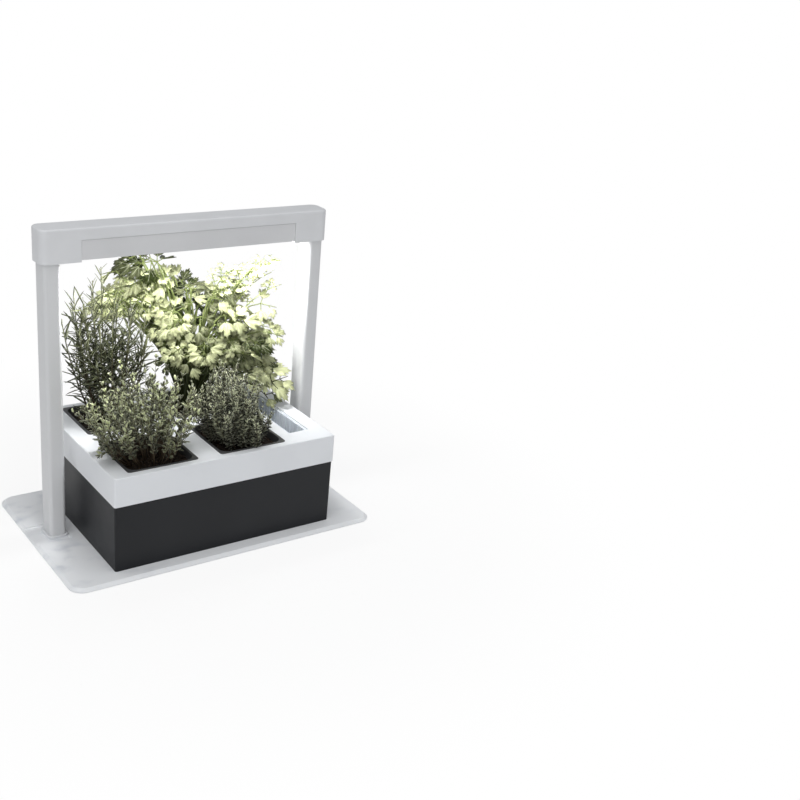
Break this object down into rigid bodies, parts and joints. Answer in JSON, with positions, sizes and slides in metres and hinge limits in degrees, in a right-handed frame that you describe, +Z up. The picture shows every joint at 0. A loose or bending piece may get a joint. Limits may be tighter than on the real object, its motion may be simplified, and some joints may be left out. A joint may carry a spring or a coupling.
{
  "type": "indoor herb planter",
  "caption": "Self-watering indoor herb planter: dark tank with a white cover, square herb pots and a fill well, standing under a light bar on two posts and a flat base.",
  "frame": {"origin": "middle of the base's outline, on the surface that the rubber feet stand on", "axes": "+X along the lamp to the fill well's side, +Y to the rear, +Z up"},
  "size_m": [0.498, 0.316, 0.474],
  "materials": {
    "base_plastic": "pale grey-white moulded plastic, satin",
    "foot_rubber": "black rubber disc",
    "post_coating": "light grey satin powder coat on an extruded tube",
    "collar_plastic": "pale satin plastic",
    "block_plastic": "black glass-filled plastic",
    "screw_steel": "zinc-plated steel",
    "lamp_plastic": "light grey satin moulded plastic",
    "panel_grey": "slightly darker grey satin strip",
    "sink_aluminium": "mill-finish extrusion",
    "board_white": "white solder resist",
    "led_chip": "phosphor-filled chip",
    "diffuser_frost": "frosted white, lit cool white from inside",
    "board_green": "green circuit board with parts",
    "inlet_black": "black socket",
    "lead_rubber": "black jacketed lead",
    "switch_black": "black switch",
    "button_white": "light grey satin cap",
    "reservoir_black": "anthracite fine-grained moulded plastic",
    "shelf_grey": "grey moulded plastic",
    "mat_felt": "grey capillary felt",
    "cover_white": "white satin moulded plastic",
    "well_plastic": "bluish grey moulded plastic",
    "pot_black": "black nursery pot plastic",
    "potting_soil": "moist dark potting compost of bark and peat",
    "rosemary_green": "grey-green needles, paler below, brown stems",
    "parsley_green": "fresh yellow-green leaves on pale stalks",
    "lemon_thyme_green": "grey-green leaves with pale edges",
    "thyme_green": "dark grey-green leaves"
  },
  "bodies": {
    "stand": {"base_plate": "base_plastic", "base_feet": "foot_rubber", "post_left": "post_coating", "post_right": "post_coating", "foot_collar_left": "collar_plastic", "foot_collar_right": "collar_plastic", "foot_block_left": "block_plastic", "foot_block_right": "block_plastic", "top_block_left": "block_plastic", "top_block_right": "block_plastic", "foot_screws": "screw_steel", "lamp_screws": "screw_steel", "inner_screws": "screw_steel", "lamp_housing": "lamp_plastic", "lamp_front_panel": "panel_grey", "heat_sink": "sink_aluminium", "led_board": "board_white", "led_chips": "led_chip", "lamp_diffuser": "diffuser_frost", "driver_board": "board_green", "power_inlet": "inlet_black", "inlet_nut": "screw_steel", "lamp_lead": "lead_rubber", "timer_switch": "switch_black"},
    "button": {"timer_button": "button_white"},
    "planter": {"reservoir": "reservoir_black", "pot_shelf": "shelf_grey", "capillary_mat": "mat_felt"},
    "cover": {"tray_cover": "cover_white", "fill_well": "well_plastic"},
    "rosemary_pot": {"pot_rear_left": "pot_black", "soil_rear_left": "potting_soil", "rosemary_plant": "rosemary_green"},
    "parsley_pot": {"pot_rear_right": "pot_black", "soil_rear_right": "potting_soil", "parsley_plant": "parsley_green"},
    "lemon_thyme_pot": {"pot_front_left": "pot_black", "soil_front_left": "potting_soil", "lemon_thyme_plant": "lemon_thyme_green"},
    "thyme_pot": {"pot_front_right": "pot_black", "soil_front_right": "potting_soil", "thyme_plant": "thyme_green"}
  },
  "joints": [
    {"name": "planter_slide", "type": "slide", "parent": "stand", "child": "planter", "axis": [0, -1, 0], "range_m": [0, 0.28]},
    {"name": "cover_lift", "type": "slide", "parent": "planter", "child": "cover", "axis": [0, 0, 1], "range_m": [0, 0.07]},
    {"name": "rosemary_pot_lift", "type": "slide", "parent": "cover", "child": "rosemary_pot", "axis": [0, 0, 1], "range_m": [0, 0.105]},
    {"name": "parsley_pot_lift", "type": "slide", "parent": "cover", "child": "parsley_pot", "axis": [0, 0, 1], "range_m": [0, 0.105]},
    {"name": "lemon_thyme_pot_lift", "type": "slide", "parent": "cover", "child": "lemon_thyme_pot", "axis": [0, 0, 1], "range_m": [0, 0.105]},
    {"name": "thyme_pot_lift", "type": "slide", "parent": "cover", "child": "thyme_pot", "axis": [0, 0, 1], "range_m": [0, 0.105]},
    {"name": "timer_press", "type": "slide", "parent": "stand", "child": "button", "axis": [0, -1, 0], "range_m": [0, 0.0012], "stiffness_N_per_m": 250, "springref_m": -0.002}
  ]
}
